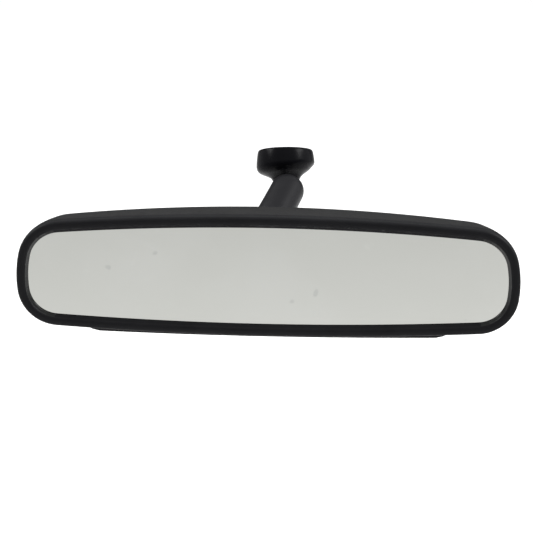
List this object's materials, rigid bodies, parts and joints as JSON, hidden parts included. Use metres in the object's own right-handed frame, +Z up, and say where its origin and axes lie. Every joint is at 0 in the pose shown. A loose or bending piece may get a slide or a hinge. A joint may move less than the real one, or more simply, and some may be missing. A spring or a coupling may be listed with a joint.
{
  "type": "interior rearview mirror",
  "caption": "Interior rearview mirror with a wide rounded head, a prismatic glass in a bead bezel, a double ball arm and a bell-shaped windshield foot.",
  "frame": {"origin": "centre of the foot's mounting face, on the windshield side", "axes": "+Z up and -Y towards the driver when the mirror hangs in a car, +X to the driver's right along the head; the mounting face's normal leans forward by the windshield's slope"},
  "size_m": [0.25, 0.1098, 0.0806],
  "materials": {
    "satin_black": "fine satin grain",
    "gloss_black": "gloss black coat on a die casting",
    "silvered_glass": "polished, silvered on the back",
    "film": "matte",
    "nylon": "moulded",
    "steel": "zinc plated",
    "rubber": "matte"
  },
  "bodies": {
    "foot": {"foot_bell": "gloss_black", "upper_ball_stud": "steel", "button_clip": "steel", "clip_screw": "steel"},
    "upper_ring": {"upper_liner": "nylon"},
    "upper_seat": {"upper_cup": "nylon"},
    "arm": {"arm_tube": "satin_black", "arm_spring": "steel", "upper_washer": "steel", "lower_washer": "steel"},
    "lower_seat": {"lower_cup": "nylon"},
    "lower_ring": {"lower_liner": "nylon"},
    "ball_mount": {"mount_plate": "steel", "lower_ball_stud": "steel", "stud_nut": "steel"},
    "head": {"bezel": "satin_black", "mirror_glass": "silvered_glass", "backing_film": "film", "rear_casing": "satin_black", "pivot_frame": "nylon", "flip_pin": "steel", "lever_pin": "steel", "toggle_spring": "steel", "frame_screw_1": "steel", "frame_screw_2": "steel", "frame_screw_3": "steel", "frame_screw_4": "steel", "bumper_left": "rubber", "bumper_right": "rubber"},
    "lever": {"day_night_lever": "satin_black"}
  },
  "joints": [
    {"name": "upper_pitch", "type": "hinge", "parent": "foot", "child": "upper_ring", "pos_m": [0.0017, -0.0225, -0.0153], "axis": [1, 0, 0], "range_deg": [-15, 15]},
    {"name": "upper_yaw", "type": "hinge", "parent": "upper_ring", "child": "upper_seat", "pos_m": [0.0017, -0.0225, -0.0153], "axis": [0, 0, 1], "range_deg": [-8, 35]},
    {"name": "upper_twist", "type": "hinge", "parent": "upper_seat", "child": "arm", "pos_m": [0.0017, -0.0225, -0.0153], "axis": [-0.2855, -0.8934, -0.347], "range_deg": [-40, 40]},
    {"name": "lower_twist", "type": "hinge", "parent": "arm", "child": "lower_seat", "pos_m": [-0.0099, -0.0588, -0.0294], "axis": [-0.2855, -0.8934, -0.347], "range_deg": [-30, 30]},
    {"name": "lower_pitch", "type": "hinge", "parent": "lower_seat", "child": "lower_ring", "pos_m": [-0.0099, -0.0588, -0.0294], "axis": [1, 0, 0], "range_deg": [-15, 15]},
    {"name": "lower_yaw", "type": "hinge", "parent": "lower_ring", "child": "ball_mount", "pos_m": [-0.0099, -0.0588, -0.0294], "axis": [0, 0, 1], "range_deg": [-35, 8]},
    {"name": "flip_tilt", "type": "hinge", "parent": "ball_mount", "child": "head", "pos_m": [-0.0099, -0.0808, -0.0244], "axis": [-1, 0, 0], "range_deg": [0, 4.5]},
    {"name": "lever_turn", "type": "hinge", "parent": "head", "child": "lever", "pos_m": [-0.0099, -0.0808, -0.0514], "axis": [-1, 0, 0], "range_deg": [0, 30]}
  ],
  "couplings": [
    {"joint": "flip_tilt", "follows": "lever_turn", "ratio": 0.15}
  ]
}
